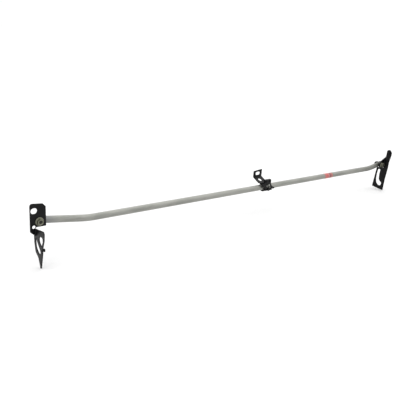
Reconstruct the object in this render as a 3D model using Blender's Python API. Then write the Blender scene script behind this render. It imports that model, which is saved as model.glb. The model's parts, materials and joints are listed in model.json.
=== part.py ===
"""Truck bed cross bar: a bent steel tube with a bolted sheet-steel bracket at each end and a tie-down clamp.

X runs along the bar, Y away from the front of the brackets, Z up. The origin is the bearing point on the
outboard face of the left bracket's wing plate.
"""

import math

import bmesh
import bpy
from mathutils import Matrix, Vector

MM = 0.001
GAP = 0.3 * MM

# Tube: 19.05 mm outside, cranked up near both ends.
TUBE_R = 9.525 * MM
TUBE_WALL = 1.6 * MM
LEFT_BEND_ANGLE = math.radians(7.5)
LEFT_BEND_R = 300 * MM
LEFT_LEG = 147.4 * MM
RIGHT_BEND_ANGLE = math.radians(10.5)
RIGHT_BEND_R = 250 * MM
RIGHT_LEG = 65 * MM
STRAIGHT = 1303.4 * MM
END_OVERHANG = 13 * MM
ROUND_SIDES = 24
BEND_STEPS = 6

# Stack on each pivot bolt, as distances in front of (negative Y) or behind the tube's axis.
SADDLE_FACE = 10.6 * MM
SADDLE_R = 11 * MM
BACK_SADDLE_R = 9.7 * MM
NYLON_THICK = 1.0 * MM
PLATE = 3.0 * MM
EAR_BACK = -(SADDLE_FACE + GAP + NYLON_THICK + GAP)
EAR_FRONT = EAR_BACK - PLATE
BOLT_R = 4.9 * MM
BOLT_HOLE_R = 5.25 * MM
FLANGE_R = 11.4 * MM
FLANGE_THICK = 2.2 * MM
HEAD_ACROSS_FLATS = 15 * MM
HEAD_THICK = 6.2 * MM
HEAD_DISH_R = 4.6 * MM
HEAD_DISH_DEPTH = 1.4 * MM
WASHER_R = 9.3 * MM
WASHER_THICK = 1.2 * MM
NUT_ACROSS_FLATS = 15 * MM
NUT_THICK = 4.8 * MM
BOLT_BEYOND_NUT = 0.7 * MM
INSERT_THICK = 1.6 * MM
SLEEVE_R = 7.0 * MM

# Brackets: the outboard face of the left wing and the inboard face of the right one, and the studs on the wings
# as (y, z) from the pivots.
BEND_IN_R = 2.0 * MM
LEFT_WING_X = -10.0 * MM
RIGHT_WING_X = 13.5 * MM
LEFT_STUD = (-46.3, -67)
RIGHT_STUD = (-30.5, 52.0)
STUD_HOLE_R = 2.9

# Clamp: its middle along the straight stretch, and its sheet thickness.
CLAMP_X = 687.5 * MM
CLAMP_SHEET = 2.5 * MM
LINER_THICK = 1.8 * MM
LINER_BORE_R = TUBE_R + 0.75 * MM
BAND_R = LINER_BORE_R + LINER_THICK + 0.35 * MM
BAND_LENGTH = 29 * MM
CLAMP_SCREW_R = 2.0 * MM
CLAMP_SCREW_HEAD_R = 3.4 * MM
CLAMP_SCREW_HEAD = 2.4 * MM
CLAMP_NUT_ACROSS_FLATS = 7 * MM
CLAMP_NUT_THICK = 3.2 * MM
CLAMP_SCREW_X = 8.5 * MM
CLAMP_SCREW_Z = 23 * MM
CLAMP_FLANGE_TOP = 28 * MM
PINCH_Y = -16.6 * MM
FOOT_Y = -21.5 * MM
LOWER_FLANGE_Z = -5.3 * MM
BAND_FLANGE_BACK = -7.2 * MM

# Label band, a thin film round the tube.
LABEL_X = 1032 * MM
LABEL_LENGTH = 50 * MM
LABEL_FILM = 0.25 * MM
LABEL_CLEARANCE = 0.15 * MM

LEFT_SLOPE = Vector((math.cos(LEFT_BEND_ANGLE), 0, -math.sin(LEFT_BEND_ANGLE)))
RIGHT_SLOPE = Vector((math.cos(RIGHT_BEND_ANGLE), 0, math.sin(RIGHT_BEND_ANGLE)))
LEFT_PIVOT = Vector((-LEFT_WING_X, 38 * MM, 24 * MM))
LEFT_BEND = LEFT_PIVOT + LEFT_SLOPE * LEFT_LEG
RIGHT_BEND = LEFT_BEND + Vector((STRAIGHT, 0, 0))
RIGHT_PIVOT = RIGHT_BEND + RIGHT_SLOPE * RIGHT_LEG


# ---------------------------------------------------------------- scene, collections and materials


def clear_scene():
    for obj in list(bpy.data.objects):
        bpy.data.objects.remove(obj, do_unlink=True)


def new_collection(name):
    collection = bpy.data.collections.new(name)
    bpy.context.scene.collection.children.link(collection)
    return collection


def new_material(name, colour, roughness, metallic):
    material = bpy.data.materials.new(name)
    material.use_nodes = True
    shader = material.node_tree.nodes["Principled BSDF"]
    shader.inputs["Base Color"].default_value = (*colour, 1)
    shader.inputs["Roughness"].default_value = roughness
    shader.inputs["Metallic"].default_value = metallic
    material.diffuse_color = (*colour, 1)
    return material


clear_scene()
PARTS = new_collection("bed_cross_bar")
CUTTERS = new_collection("cutters")

BAR_STEEL = new_material("bar_steel", (0.56, 0.56, 0.53), 0.34, 1.0)
BLACK_STEEL = new_material("black_steel", (0.02, 0.02, 0.022), 0.45, 0.3)
ZINC_STEEL = new_material("zinc_steel", (0.62, 0.62, 0.55), 0.35, 1.0)
BLACK_PLASTIC = new_material("black_plastic", (0.03, 0.03, 0.03), 0.6, 0.0)
WHITE_NYLON = new_material("white_nylon", (0.75, 0.74, 0.68), 0.5, 0.0)
BLACK_RUBBER = new_material("black_rubber", (0.015, 0.015, 0.015), 0.85, 0.0)
RED_FILM = new_material("red_film", (0.62, 0.07, 0.07), 0.4, 0.0)


def new_frame(name, location):
    """An empty that holds the pieces of one joint's frame."""
    frame = bpy.data.objects.new(name, None)
    frame.location = location
    frame.empty_display_size = 0.02
    PARTS.objects.link(frame)
    return frame


def add_mesh(name, mesh, material, parent, collection=PARTS):
    obj = bpy.data.objects.new(name, mesh)
    collection.objects.link(obj)
    obj.parent = parent
    if material:
        mesh.materials.clear()
        mesh.materials.append(material)
    return obj


# ---------------------------------------------------------------- shapes


def mesh_of(build):
    """A mesh made by build(bmesh), with its faces turned outwards."""
    shape = bmesh.new()
    build(shape)
    bmesh.ops.recalc_face_normals(shape, faces=shape.faces)
    mesh = bpy.data.meshes.new("shape")
    shape.to_mesh(mesh)
    shape.free()
    return mesh


def cylinder(radius, length, centre=(0, 0, 0), axis="Y", sides=ROUND_SIDES):
    """A capped cylinder."""
    turn = {
        "X": Matrix.Rotation(math.pi / 2, 4, "Y"),
        "Y": Matrix.Rotation(-math.pi / 2, 4, "X"),
        "Z": Matrix.Identity(4),
    }[axis]

    def build(shape):
        bmesh.ops.create_cone(
            shape,
            cap_ends=True,
            segments=sides,
            radius1=radius,
            radius2=radius,
            depth=length,
            matrix=Matrix.Translation(centre) @ turn,
        )

    return mesh_of(build)


def box(low, high):
    low, high = Vector(low), Vector(high)

    def build(shape):
        size = Matrix.Diagonal((*(high - low), 1))
        bmesh.ops.create_cube(shape, size=1, matrix=Matrix.Translation((low + high) / 2) @ size)

    return mesh_of(build)


def arc(centre, radius, start, end, steps):
    """Points on a circle from start to end, in degrees."""
    angles = [math.radians(start + (end - start) * i / steps) for i in range(steps + 1)]
    return [(centre[0] + radius * math.cos(a), centre[1] + radius * math.sin(a)) for a in angles]


def rounded(corners, steps=4):
    """A closed outline through (u, v, radius) corners, in millimetres, with each corner rounded."""
    points = []
    for i, (u, v, radius) in enumerate(corners):
        here = Vector((u, v))
        before = (Vector(corners[i - 1][:2]) - here).normalized()
        after = (Vector(corners[(i + 1) % len(corners)][:2]) - here).normalized()
        if radius == 0:
            points.append(here)
            continue
        half = before.angle(after) / 2
        reach = radius / math.tan(half)
        centre = here + (before + after).normalized() * radius / math.sin(half)
        first = here + before * reach - centre
        turn = (here + after * reach - centre).angle_signed(first)
        for k in range(steps + 1):
            points.append(centre + Matrix.Rotation(turn * k / steps, 2) @ first)
    return [p * MM for p in (Vector(point) for point in points)]


def circle(u, v, radius, sides=20):
    return [Vector(p) * MM for p in arc((u, v), radius, 0, 360 * (1 - 1 / sides), sides - 1)]


def flat_plate(outline, holes, thickness, plane, offset):
    """A flat sheet from closed outlines, as a mesh. Plane XZ spans y from offset, and plane YZ spans x."""
    curve = bpy.data.curves.new("outline", "CURVE")
    curve.dimensions = "2D"
    curve.fill_mode = "BOTH"
    curve.extrude = thickness / 2
    for loop in [outline, *holes]:
        spline = curve.splines.new("POLY")
        spline.points.add(len(loop) - 1)
        for point, place in zip(spline.points, loop):
            point.co = (place[0], place[1], 0, 1)
        spline.use_cyclic_u = True
    guide = bpy.data.objects.new("outline", curve)
    CUTTERS.objects.link(guide)
    if plane == "XZ":
        # Local x, y, z become world X, Z, -Y.
        turn = Matrix(((1, 0, 0, 0), (0, 0, -1, offset + thickness / 2), (0, 1, 0, 0), (0, 0, 0, 1)))
    else:
        # Local x, y, z become world Y, Z, X.
        turn = Matrix(((0, 0, 1, offset + thickness / 2), (1, 0, 0, 0), (0, 1, 0, 0), (0, 0, 0, 1)))
    mesh = bpy.data.meshes.new_from_object(guide.evaluated_get(bpy.context.evaluated_depsgraph_get()))
    bpy.data.objects.remove(guide)
    shape = bmesh.new()
    shape.from_mesh(mesh)
    bmesh.ops.remove_doubles(shape, verts=shape.verts, dist=0.01 * MM)
    bmesh.ops.transform(shape, matrix=turn, verts=shape.verts)
    bmesh.ops.recalc_face_normals(shape, faces=shape.faces)
    shape.to_mesh(mesh)
    shape.free()
    return mesh


def prism(section, along, low, high):
    """A closed section swept along X or Z. The section holds (y, z) points for X, and (x, y) for Z."""

    def place(point, t):
        return (t, point[0], point[1]) if along == "X" else (point[0], point[1], t)

    def build(shape):
        rings = [[shape.verts.new(place(p, t)) for p in section] for t in (low, high)]
        for ring in rings:
            shape.faces.new(ring)
        for i in range(len(section)):
            j = (i + 1) % len(section)
            shape.faces.new((rings[0][i], rings[0][j], rings[1][j], rings[1][i]))

    return mesh_of(build)


def sheet_section(path, thickness):
    """The closed section of a bent sheet: path is its one face, and the other lies to the path's left."""
    other = []
    for i, point in enumerate(path):
        here = Vector(point)
        arms = []
        if i > 0:
            arms.append((here - Vector(path[i - 1])).normalized())
        if i < len(path) - 1:
            arms.append((Vector(path[i + 1]) - here).normalized())
        ahead = sum(arms, Vector((0, 0))).normalized()
        stretch = thickness / max(ahead.dot(arms[0]), 0.2)
        other.append(here + Vector((-ahead.y, ahead.x)) * stretch)
    return [Vector(p) for p in path] + other[::-1]


def apply_boolean(obj, operation, meshes):
    """Joins or cuts obj with closed meshes that share its frame."""
    for mesh in meshes:
        tool = add_mesh("tool", mesh, None, obj.parent, CUTTERS)
        tool.hide_render = True
        tool.display_type = "WIRE"
        modifier = obj.modifiers.new("cut", "BOOLEAN")
        modifier.operation = operation
        modifier.object = tool
        modifier.solver = "EXACT"


def bake(obj):
    """Replaces the mesh of obj by its evaluated one, so that later steps see plain faces."""
    material = obj.data.materials[0]
    bpy.context.view_layer.update()
    mesh = bpy.data.meshes.new_from_object(obj.evaluated_get(bpy.context.evaluated_depsgraph_get()))
    tools = [m.object for m in obj.modifiers if m.type == "BOOLEAN"]
    obj.modifiers.clear()
    obj.data = mesh
    mesh.materials.clear()
    mesh.materials.append(material)
    for tool in tools:
        bpy.data.objects.remove(tool)
    return obj


def shade(obj, angle=35):
    obj.data.shade_smooth()
    obj.data.set_sharp_from_angle(angle=math.radians(angle))
    return obj


def turned(name, profile, material, parent, centre=(0, 0, 0)):
    """A turned piece on the Y axis. Its profile holds (radius, y) points from its lowest y to its highest."""
    steps = ROUND_SIDES

    def build(shape):
        rings = []
        for radius, y in profile:
            if radius == 0:
                rings.append([shape.verts.new((centre[0], centre[1] + y, centre[2]))])
                continue
            ring = []
            for i in range(steps):
                a = 2 * math.pi * (i + 0.5) / steps
                ring.append(
                    shape.verts.new(
                        (centre[0] + radius * math.cos(a), centre[1] + y, centre[2] + radius * math.sin(a))
                    )
                )
            rings.append(ring)
        closed = profile[0][0] != 0
        pairs = list(zip(rings, rings[1:] + rings[:1])) if closed else list(zip(rings, rings[1:]))
        for low, high in pairs:
            for i in range(steps):
                j = (i + 1) % steps
                corners = [low[i % len(low)], low[j % len(low)], high[j % len(high)], high[i % len(high)]]
                shape.faces.new(list(dict.fromkeys(corners)))

    return shade(add_mesh(name, mesh_of(build), material, parent))


def ring_profile(inner, outer, low, high):
    return [(inner, low), (outer, low), (outer, high), (inner, high)]


# ---------------------------------------------------------------- tube


def tube_path():
    """Centre line points and their directions, from the left end to the right."""
    stations = [(LEFT_PIVOT - LEFT_SLOPE * END_OVERHANG, LEFT_SLOPE)]
    left = (LEFT_BEND, -LEFT_BEND_ANGLE, LEFT_BEND_ANGLE, LEFT_BEND_R)
    right = (RIGHT_BEND, 0.0, RIGHT_BEND_ANGLE, RIGHT_BEND_R)
    for corner, first_angle, turn, radius in (left, right):
        enter = Vector((math.cos(first_angle), 0, math.sin(first_angle)))
        start = corner - enter * radius * math.tan(turn / 2)
        centre = start + Vector((-enter.z, 0, enter.x)) * radius
        for i in range(BEND_STEPS + 1):
            angle = first_angle + turn * i / BEND_STEPS
            ahead = Vector((math.cos(angle), 0, math.sin(angle)))
            stations.append((centre - Vector((-ahead.z, 0, ahead.x)) * radius, ahead))
    stations.append((RIGHT_PIVOT + RIGHT_SLOPE * END_OVERHANG, RIGHT_SLOPE))
    return stations


def tube_ring(shape, centre, ahead, radius):
    up = Vector((-ahead.z, 0, ahead.x))
    side = Vector((0, 1, 0))
    ring = []
    for i in range(ROUND_SIDES):
        a = 2 * math.pi * (i + 0.5) / ROUND_SIDES
        ring.append(shape.verts.new(centre + side * radius * math.cos(a) + up * radius * math.sin(a)))
    return ring


def bridge(shape, first, second):
    count = len(first)
    for i in range(count):
        j = (i + 1) % count
        shape.faces.new((first[i], first[j], second[j], second[i]))


def make_tube():
    stations = tube_path()

    def build(shape):
        outer = [tube_ring(shape, centre, ahead, TUBE_R) for centre, ahead in stations]
        inner = [tube_ring(shape, centre, ahead, TUBE_R - TUBE_WALL) for centre, ahead in stations]
        for rings in (outer, inner):
            for first, second in zip(rings, rings[1:]):
                bridge(shape, first, second)
        bridge(shape, outer[0], inner[0])
        bridge(shape, outer[-1], inner[-1])

    tube = add_mesh("main_tube", mesh_of(build), BAR_STEEL, None)
    drills = [cylinder(SLEEVE_R + GAP, 3 * TUBE_R, pivot, "Y") for pivot in (LEFT_PIVOT, RIGHT_PIVOT)]
    apply_boolean(tube, "DIFFERENCE", drills)
    return shade(bake(tube))


def make_label():
    centre = Vector((LEFT_BEND.x + LABEL_X, LEFT_BEND.y, LEFT_BEND.z))
    bore = TUBE_R + LABEL_CLEARANCE

    def build(shape):
        ahead = Vector((1, 0, 0))
        ends = [centre - ahead * LABEL_LENGTH / 2, centre + ahead * LABEL_LENGTH / 2]
        outer = [tube_ring(shape, end, ahead, bore + LABEL_FILM) for end in ends]
        inner = [tube_ring(shape, end, ahead, bore) for end in ends]
        bridge(shape, *outer)
        bridge(shape, *inner)
        bridge(shape, outer[0], inner[0])
        bridge(shape, outer[1], inner[1])

    return shade(add_mesh("label_band", mesh_of(build), RED_FILM, None))


# ---------------------------------------------------------------- pieces on each pivot bolt


def saddle(name, frame, tilt, side):
    """A block that turns the tube's round wall into a flat face. Side is -1 in front and 1 behind."""
    low, high = sorted((side * 5 * MM, side * SADDLE_FACE))
    radius = SADDLE_R if side < 0 else BACK_SADDLE_R
    block = add_mesh(name, cylinder(radius, high - low, (0, (low + high) / 2, 0)), BLACK_PLASTIC, frame)
    trough = cylinder(TUBE_R + GAP, 4 * SADDLE_R, (0, 0, 0), "X", 48)
    trough.transform(Matrix.Rotation(tilt, 4, "Y"))
    apply_boolean(block, "DIFFERENCE", [trough, cylinder(BOLT_HOLE_R, 30 * MM)])
    return shade(bake(block))


def hexagon_prism(across_flats, low, high):
    def build(shape):
        bmesh.ops.create_cone(
            shape,
            cap_ends=True,
            segments=6,
            radius1=across_flats / math.sqrt(3),
            radius2=across_flats / math.sqrt(3),
            depth=high - low,
            matrix=Matrix.Translation((0, (low + high) / 2, 0)) @ Matrix.Rotation(-math.pi / 2, 4, "X"),
        )

    return mesh_of(build)


def pivot_bolt(name, frame):
    """A flange bolt: dished hexagon head, flange and plain shank."""
    flange_back = EAR_FRONT - GAP
    flange_front = flange_back - FLANGE_THICK
    head_front = flange_front - HEAD_THICK
    tip = SADDLE_FACE + GAP + WASHER_THICK + GAP + NUT_THICK + BOLT_BEYOND_NUT
    bolt = add_mesh(name, hexagon_prism(HEAD_ACROSS_FLATS, head_front, flange_back - 1 * MM), ZINC_STEEL, frame)
    middle = (flange_front + flange_back) / 2
    flange = cylinder(FLANGE_R, FLANGE_THICK, (0, middle, 0))
    shank = cylinder(BOLT_R, tip - flange_back + 1 * MM, (0, (tip + flange_back - 1 * MM) / 2, 0))
    apply_boolean(bolt, "UNION", [flange, shank])
    dish = cylinder(HEAD_DISH_R, 2 * HEAD_DISH_DEPTH, (0, head_front, 0))
    apply_boolean(bolt, "DIFFERENCE", [dish])
    return shade(bake(bolt))


def lock_nut(name, insert_name, frame):
    """A hexagon nut with a collar that holds a nylon ring."""
    start = SADDLE_FACE + GAP + WASHER_THICK + GAP
    end = start + NUT_THICK
    nut = add_mesh(name, hexagon_prism(NUT_ACROSS_FLATS, start, end - INSERT_THICK), BLACK_STEEL, frame)
    collar = cylinder(NUT_ACROSS_FLATS * 0.46, INSERT_THICK + 1 * MM, (0, end - (INSERT_THICK + 1 * MM) / 2, 0))
    apply_boolean(nut, "UNION", [collar])
    bore = cylinder(BOLT_R + GAP, 40 * MM)
    pocket = cylinder(6.3 * MM, 2 * INSERT_THICK, (0, end, 0))
    apply_boolean(nut, "DIFFERENCE", [bore, pocket])
    shade(bake(nut))
    insert = ring_profile(BOLT_R + GAP, 6.0 * MM, end - INSERT_THICK + GAP, end - GAP)
    turned(insert_name, insert, WHITE_NYLON, frame)


def pivot_stack(side, frame, tilt, outward):
    """Everything that the pivot bolt of one end holds together, apart from the bracket."""
    saddle(f"{side}_front_saddle", frame, tilt, -1)
    saddle(f"{side}_back_saddle", frame, tilt, 1)
    pivot_bolt(f"{side}_pivot_bolt", frame)
    reach = TUBE_R - 3.2 * MM
    turned(f"{side}_crush_sleeve", ring_profile(BOLT_HOLE_R, SLEEVE_R, -reach, reach), ZINC_STEEL, frame)
    nylon_back = -SADDLE_FACE - GAP
    nylon = ring_profile(BOLT_HOLE_R, SADDLE_R, nylon_back - NYLON_THICK, nylon_back)
    turned(f"{side}_nylon_washer", nylon, WHITE_NYLON, frame)
    washer_front = SADDLE_FACE + GAP
    washer = ring_profile(BOLT_HOLE_R, WASHER_R, washer_front, washer_front + WASHER_THICK)
    turned(f"{side}_back_washer", washer, BLACK_STEEL, frame)
    lock_nut(f"{side}_lock_nut", f"{side}_nut_insert", frame)
    end_plug(f"{side}_end_plug", frame, tilt, outward)


def end_plug(name, frame, tilt, outward):
    """A plastic plug in the tube's end: a rim outside and a short spigot inside."""
    rim = 2.5 * MM
    spigot = END_OVERHANG - SLEEVE_R - 2 * MM
    rim_mesh = cylinder(TUBE_R - 0.4 * MM, rim, (outward * (END_OVERHANG + GAP + rim / 2), 0, 0), "X")
    middle = outward * (END_OVERHANG + GAP + rim / 2 - spigot / 2)
    spigot_mesh = cylinder(TUBE_R - TUBE_WALL - GAP, spigot, (middle, 0, 0), "X")
    for mesh in (rim_mesh, spigot_mesh):
        mesh.transform(Matrix.Rotation(tilt, 4, "Y"))
    plug = add_mesh(name, rim_mesh, BLACK_PLASTIC, frame)
    apply_boolean(plug, "UNION", [spigot_mesh])
    return shade(bake(plug))


# ---------------------------------------------------------------- brackets


def bend_piece(corner_x, low, high):
    """The quarter-round bend between an ear plate and a wing plate whose outboard faces meet at corner_x."""
    centre = (corner_x - BEND_IN_R, EAR_FRONT - BEND_IN_R)
    inset = 0.04 * MM
    outer = arc(centre, BEND_IN_R + PLATE - inset, 90, 0, 5)
    inner = arc(centre, BEND_IN_R + inset, 0, 90, 5)
    lead = 0.4 * MM
    section = [
        (outer[0][0] - lead, outer[0][1]),
        *outer,
        (outer[-1][0], outer[-1][1] - lead),
        (inner[0][0], inner[0][1] - lead),
        *inner,
        (inner[-1][0] - lead, inner[-1][1]),
    ]
    return prism(section, "Z", low, high)


def bracket(name, frame, ear, wing, wing_x, bend_range):
    obj = add_mesh(name, ear, BLACK_STEEL, frame)
    bend = bend_piece(wing_x, bend_range[0] * MM, bend_range[1] * MM)
    apply_boolean(obj, "UNION", [bend, wing])
    return shade(bake(obj))


def stud(name, frame, place, face_x, direction, head_r, reach):
    """A shouldered stud riveted through a wing plate. Direction is the way its head points along X."""
    y, z = place[0] * MM, place[1] * MM
    profile = [(0, -0.8 * MM), (2.6 * MM, -0.8 * MM), (2.6 * MM, PLATE + GAP), (3.6 * MM, PLATE + GAP)]
    profile += [(3.6 * MM, reach - 2.4 * MM), (head_r, reach - 2.4 * MM), (head_r, reach - 1.0 * MM)]
    profile += [(head_r * 0.7, reach), (0, reach)]
    obj = turned(name, profile, BLACK_STEEL, frame)
    turn = Matrix.Rotation(-direction * math.pi / 2, 4, "Z")
    obj.data.transform(Matrix.Translation((face_x, y, z)) @ turn)
    return obj


def left_bracket(frame):
    """Ear with two holes and a chamfered corner, a neck, and a spear-shaped wing across the bar."""
    bend_start = (LEFT_WING_X - BEND_IN_R) / MM
    ear_outline = rounded(
        [
            (-24.5, -26, 3),
            (bend_start, -40, 0),
            (bend_start, -17.6, 0),
            (-8.4, -14.2, 1),
            (18.4, -14.2, 2),
            (17.6, 38.5, 2.5),
            (9.5, 46.3, 2.5),
            (-25.2, 49.5, 7),
        ]
    )
    ear_holes = [
        arc((0, 0), BOLT_HOLE_R, 0, 345, 23),
        rounded([(-22.8, 21.5, 7.6), (-5.2, 21.5, 7.6), (-5.2, 36.9, 7.6), (-22.8, 36.9, 7.6)]),
        circle(-14.6, -13.4, 4.6, 16),
    ]
    ear = flat_plate(ear_outline, ear_holes, PLATE, "XZ", EAR_FRONT)
    wing_outline = rounded(
        [
            (-17.0, -18.8, 0),
            (-51, -13.8, 0),
            (-60.5, -14.5, 6),
            (-59, -38, 6),
            (-51.8, -58, 10),
            (-50.5, -72, 20),
            (-45.2, -100, 20),
            (-41, -118, 1.2),
            (-37.5, -118, 1.2),
            (-33.5, -107, 12),
            (-26.5, -92.5, 12),
            (-10.5, -82, 14),
            (-4.0, -57, 12),
            (-2.6, -38, 3),
            (-17.0, -38, 0),
        ]
    )
    slot = rounded(
        [
            (-12.2, -43.5, 1.5),
            (-11.6, -52, 12),
            (-13.0, -63, 12),
            (-17.0, -72, 10),
            (-26, -79, 8),
            (-34.5, -84, 1.8),
            (-40.5, -74, 3),
            (-34.5, -66, 12),
            (-25.5, -56.5, 14),
            (-18.0, -47, 10),
            (-17.0, -43.5, 1.5),
        ]
    )
    oval = rounded(
        [
            (-33.0, -33.5, 5.5),
            (-29.5, -45, 14),
            (-44.5, -58.0, 1.5),
            (-53.2, -42, 14),
            (-52.5, -30.5, 6),
        ]
    )
    stud_hole = circle(*LEFT_STUD, STUD_HOLE_R, 16)
    wing = flat_plate(wing_outline, [slot, oval, stud_hole], PLATE, "YZ", LEFT_WING_X)
    bracket("left_bracket", frame, ear, wing, LEFT_WING_X, (-41.3, -17.9))
    stud("left_bracket_stud", frame, LEFT_STUD, LEFT_WING_X, 1, 4.6 * MM, 9 * MM)


def right_bracket(frame):
    """Small ear round the bolt, and a wing across the bar with an upright finger and a J-shaped slot."""
    bend_start = (RIGHT_WING_X - BEND_IN_R) / MM
    ear_outline = rounded(
        [
            (bend_start, -13.5, 0),
            (bend_start, 25.5, 0),
            (-4.0, 18.5, 8),
            (-13.5, 8.0, 6),
            (-13.5, -8.0, 6),
            (-2.0, -13.5, 3),
        ]
    )
    ear = flat_plate(ear_outline, [arc((0, 0), BOLT_HOLE_R, 0, 345, 23)], PLATE, "XZ", EAR_FRONT)
    wing_outline = rounded(
        [
            (14.5, -17.2, 4),
            (19.0, -62, 40),
            (23.5, -102, 3),
            (-29.0, -109, 3),
            (-31.5, -62, 40),
            (-37.0, -10, 0),
            (-37.5, 13, 20),
            (-43.0, 42, 12),
            (-43.5, 55, 10),
            (-34.0, 66.5, 9),
            (-21.0, 62, 8),
            (-20.5, 40, 16),
            (-17.2, 32, 0),
            (-17.2, -14.5, 0),
        ]
    )
    slot = rounded(
        [
            (6.5, -23.5, 4.5),
            (10.0, -42, 30),
            (10.4, -66, 22),
            (6.5, -84, 14),
            (-4.5, -92.5, 9),
            (-16.5, -91.5, 6.5),
            (-18.5, -78, 6.5),
            (-9.0, -73.0, 6),
            (-3.5, -65, 6),
            (-2.5, -42, 30),
            (-4.5, -23.5, 4.5),
        ]
    )
    stud_hole = circle(*RIGHT_STUD, STUD_HOLE_R, 16)
    wing = flat_plate(wing_outline, [slot, stud_hole], PLATE, "YZ", RIGHT_WING_X)
    bracket("right_bracket", frame, ear, wing, RIGHT_WING_X, (-13.2, 25.2))
    stud("right_bracket_stud", frame, RIGHT_STUD, RIGHT_WING_X + PLATE, -1, 6.5 * MM, 8 * MM)


# ---------------------------------------------------------------- tie-down clamp


def clamp_liner(frame):
    """A split rubber sleeve between the tube and the clamp band."""
    start, end = -128, 128
    steps = 18
    outer = arc((0, 0), LINER_BORE_R + LINER_THICK, start, end, steps)
    inner = arc((0, 0), LINER_BORE_R, end, start, steps)
    mesh = prism(outer + inner, "X", -BAND_LENGTH / 2, BAND_LENGTH / 2)
    return shade(add_mesh("clamp_liner", mesh, BLACK_RUBBER, frame))


def clamp_holes():
    """Cutters for the two screws through the upright flanges."""
    return [
        cylinder(CLAMP_SCREW_R + GAP, 60 * MM, (x, 0, CLAMP_SCREW_Z)) for x in (-CLAMP_SCREW_X, CLAMP_SCREW_X)
    ]


def pinch_hole():
    return cylinder(CLAMP_SCREW_R + GAP, 12 * MM, (0, PINCH_Y, LOWER_FLANGE_Z), "Z")


def clamp_band(frame):
    """A steel band round the back of the tube, with an upright flange on top and a lower flange to the front."""
    front = BAND_FLANGE_BACK - CLAMP_SHEET
    path = [(front, CLAMP_FLANGE_TOP), (front, 13.5 * MM), *arc((0, 0), BAND_R, 125, -155, 20)]
    path.append((FOOT_Y + 1 * MM, LOWER_FLANGE_Z))
    mesh = prism(sheet_section(path, CLAMP_SHEET), "X", -BAND_LENGTH / 2, BAND_LENGTH / 2)
    band = add_mesh("clamp_band", mesh, BLACK_STEEL, frame)
    apply_boolean(band, "DIFFERENCE", [*clamp_holes(), pinch_hole()])
    return shade(bake(band))


def clamp_strap(frame):
    """A cranked strap: an upright tab behind the bar, a shelf over it, and a flange behind the band's flange."""
    inner = BAND_FLANGE_BACK + GAP + CLAMP_SHEET
    tab_y = 30 * MM
    over_band = (4 * MM, 17.6 * MM)
    shelf_foot = 17.47 * MM
    shelf_top = over_band[1] + (tab_y - over_band[0]) * 0.5
    path = [(tab_y, 56 * MM), (tab_y, shelf_top), over_band, (inner, shelf_foot), (inner, CLAMP_FLANGE_TOP)]
    right = BAND_LENGTH / 2
    left = -31 * MM
    mesh = prism(sheet_section(path, CLAMP_SHEET), "X", left, right)
    strap = add_mesh("clamp_strap", mesh, BLACK_STEEL, frame)
    past = 60 * MM
    shelf_right = 8 * MM
    beside_shelf = box((shelf_right, inner + 0.4 * MM, 0), (past, past, past))
    beside_flange = box((-past, -past, 0), (-right, inner + 0.9 * MM, past))
    tab_top = [(-past, 60 * MM), (left, 50.8 * MM), (shelf_right, 54.8 * MM), (past, 60 * MM)]
    above_tab = flat_plate([Vector(p) for p in tab_top], [], 20 * MM, "XZ", tab_y - 10 * MM)
    eye = rounded([(-21.5, 35.5, 5.7), (-0.5, 35.5, 5.7), (-0.5, 47, 5.7), (-21.5, 47, 5.7)])
    eye_cutter = flat_plate(eye, [], 10 * MM, "XZ", tab_y - 4 * MM)
    rope_hole = cylinder(6.9 * MM, past, (0, 0, 0), "Z")
    rope_hole.transform(Matrix.Translation((-12.9 * MM, 15.3 * MM, 23.2 * MM)) @ Matrix.Rotation(math.atan(0.5), 4, "X"))
    cutters = [beside_shelf, beside_flange, above_tab, eye_cutter, rope_hole, *clamp_holes()]
    apply_boolean(strap, "DIFFERENCE", cutters)
    return shade(bake(strap))


def clamp_front_plate(frame):
    """A plate in front of the bar: a shoulder on the left, a window, a foot flared to the right and a lip."""
    back = BAND_FLANGE_BACK - CLAMP_SHEET - GAP
    front = back - CLAMP_SHEET
    foot_z = LOWER_FLANGE_Z + GAP
    path = [(front, 27.5 * MM), (front, 15 * MM), (FOOT_Y, foot_z), (-12.8 * MM, foot_z)]
    half = BAND_LENGTH / 2
    flare = 26.5 * MM
    shoulder = -30 * MM
    mesh = prism(sheet_section(path, CLAMP_SHEET), "X", shoulder, flare)
    plate = add_mesh("clamp_front_plate", mesh, BLACK_STEEL, frame)
    window = box((-9.5 * MM, -40 * MM, foot_z + CLAMP_SHEET + 0.3 * MM), (9.5 * MM, 0, 12 * MM))
    edge = flare + 10 * MM
    above_flare = [(half, 40 * MM), (half, 6 * MM), (flare, 0), (edge, 0), (edge, 40 * MM)]
    right_waste = flat_plate([Vector(p) for p in above_flare], [], 60 * MM, "XZ", -50 * MM)
    past = 2 * shoulder
    beside_plate = [(-half, 40 * MM), (-half, 16.2 * MM), (shoulder, 13.5 * MM), (-half, -4.5 * MM)]
    beside_plate += [(-half, -20 * MM), (past, -20 * MM), (past, 40 * MM)]
    left_waste = flat_plate([Vector(p) for p in beside_plate], [], 60 * MM, "XZ", -50 * MM)
    apply_boolean(plate, "DIFFERENCE", [window, right_waste, left_waste, *clamp_holes(), pinch_hole()])
    return shade(bake(plate))


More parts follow.
